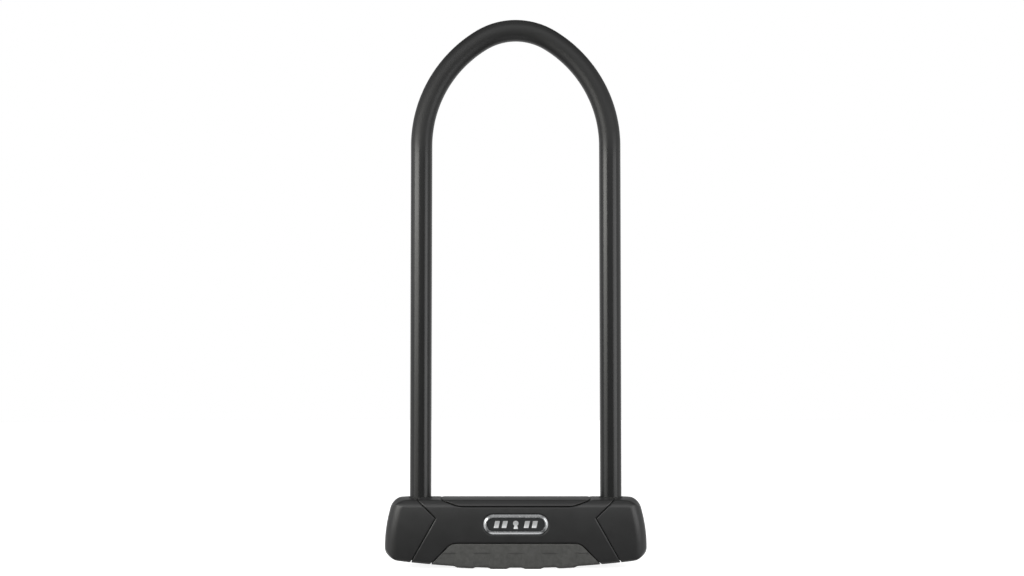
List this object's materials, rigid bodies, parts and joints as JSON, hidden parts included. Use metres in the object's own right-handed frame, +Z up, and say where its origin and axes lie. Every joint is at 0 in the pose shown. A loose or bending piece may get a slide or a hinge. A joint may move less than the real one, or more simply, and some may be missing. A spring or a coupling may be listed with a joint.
{
  "type": "u lock",
  "caption": "Bicycle U lock: long square-section coated shackle in a wide plastic-covered crossbar with a grip strip, keyed disc cylinder and double bolts.",
  "frame": {"origin": "on the surface the lock stands on, under the middle of its crossbar", "axes": "+Z up along the shackle's legs, +X along the crossbar to the viewer's right, -Y out of the face with the badge"},
  "size_m": [0.167, 0.0384, 0.3547],
  "materials": {
    "shackle_steel": "dark phosphated square steel bar, bare under its sleeve",
    "shackle_coating": "thin soft black coating, satin",
    "cover_plastic": "charcoal moulded plastic, fine grain",
    "inlay_plastic": "charcoal moulded plastic, smoother than the covers",
    "grip_rubber": "grey soft moulding, matt and grained",
    "seal_rubber": "black, matt",
    "badge_silver": "satin metallised plating",
    "badge_plate": "dark grey with a metallic plain emblem",
    "hardened_steel": "blackened hardened steel",
    "bright_steel": "bright zinc-plated steel",
    "zinc": "grey die-cast metal",
    "brass": "turned brass",
    "nylon": "dark grey moulded nylon"
  },
  "bodies": {
    "crossbar": {"front_cover": "cover_plastic", "rear_cover": "cover_plastic", "right_end_cap": "cover_plastic", "left_end_cap": "cover_plastic", "right_cap_screw": "bright_steel", "left_cap_screw": "bright_steel", "right_leg_seal": "seal_rubber", "left_leg_seal": "seal_rubber", "top_inlay": "inlay_plastic", "bottom_grip": "grip_rubber", "badge_ring": "badge_silver", "badge_plate": "badge_plate", "steel_housing": "hardened_steel", "right_end_plug": "hardened_steel", "left_end_plug": "hardened_steel", "right_end_plug_pin": "bright_steel", "left_end_plug_pin": "bright_steel", "right_leg_socket": "nylon", "left_leg_socket": "nylon", "right_bolt_guide": "zinc", "left_bolt_guide": "zinc", "keeper_plate": "hardened_steel", "cylinder_body": "brass", "cylinder_pin": "bright_steel", "keyhole_bezel": "nylon", "shutter_spring": "bright_steel"},
    "shackle": {"shackle_bar": "shackle_steel", "shackle_sleeve": "shackle_coating"},
    "plug": {"plug_barrel": "brass", "guard_disc": "hardened_steel", "sidebar": "bright_steel", "retaining_ring": "bright_steel", "drive_cam": "bright_steel", "disc_1": "brass", "disc_2": "brass", "disc_3": "brass", "disc_4": "brass", "disc_5": "brass", "disc_6": "brass", "disc_7": "brass", "disc_8": "brass", "disc_9": "brass"},
    "right_bolt": {"right_bolt": "hardened_steel"},
    "left_bolt": {"left_bolt": "hardened_steel"},
    "shutter": {"keyhole_shutter": "nylon"}
  },
  "joints": [
    {"name": "shackle_slide", "type": "slide", "parent": "crossbar", "child": "shackle", "axis": [0, 0, 1], "range_m": [0, 0.05]},
    {"name": "plug_turn", "type": "hinge", "parent": "crossbar", "child": "plug", "pos_m": [0, 0, 0.007], "axis": [0, 0, 1], "range_deg": [0, 90]},
    {"name": "right_bolt_slide", "type": "slide", "parent": "crossbar", "child": "right_bolt", "axis": [1, 0, 0], "range_m": [0, 0.0058]},
    {"name": "left_bolt_slide", "type": "slide", "parent": "crossbar", "child": "left_bolt", "axis": [-1, 0, 0], "range_m": [0, 0.0058]},
    {"name": "shutter_slide", "type": "slide", "parent": "crossbar", "child": "shutter", "axis": [1, 0, 0], "range_m": [0, 0.0106], "stiffness_N_per_m": 60, "springref_m": -0.004, "deforming": ["shutter_spring"]}
  ],
  "couplings": [
    {"joint": "right_bolt_slide", "follows": "plug_turn", "m_per_rad": 0.0036013},
    {"joint": "left_bolt_slide", "follows": "plug_turn", "m_per_rad": 0.0036013}
  ]
}
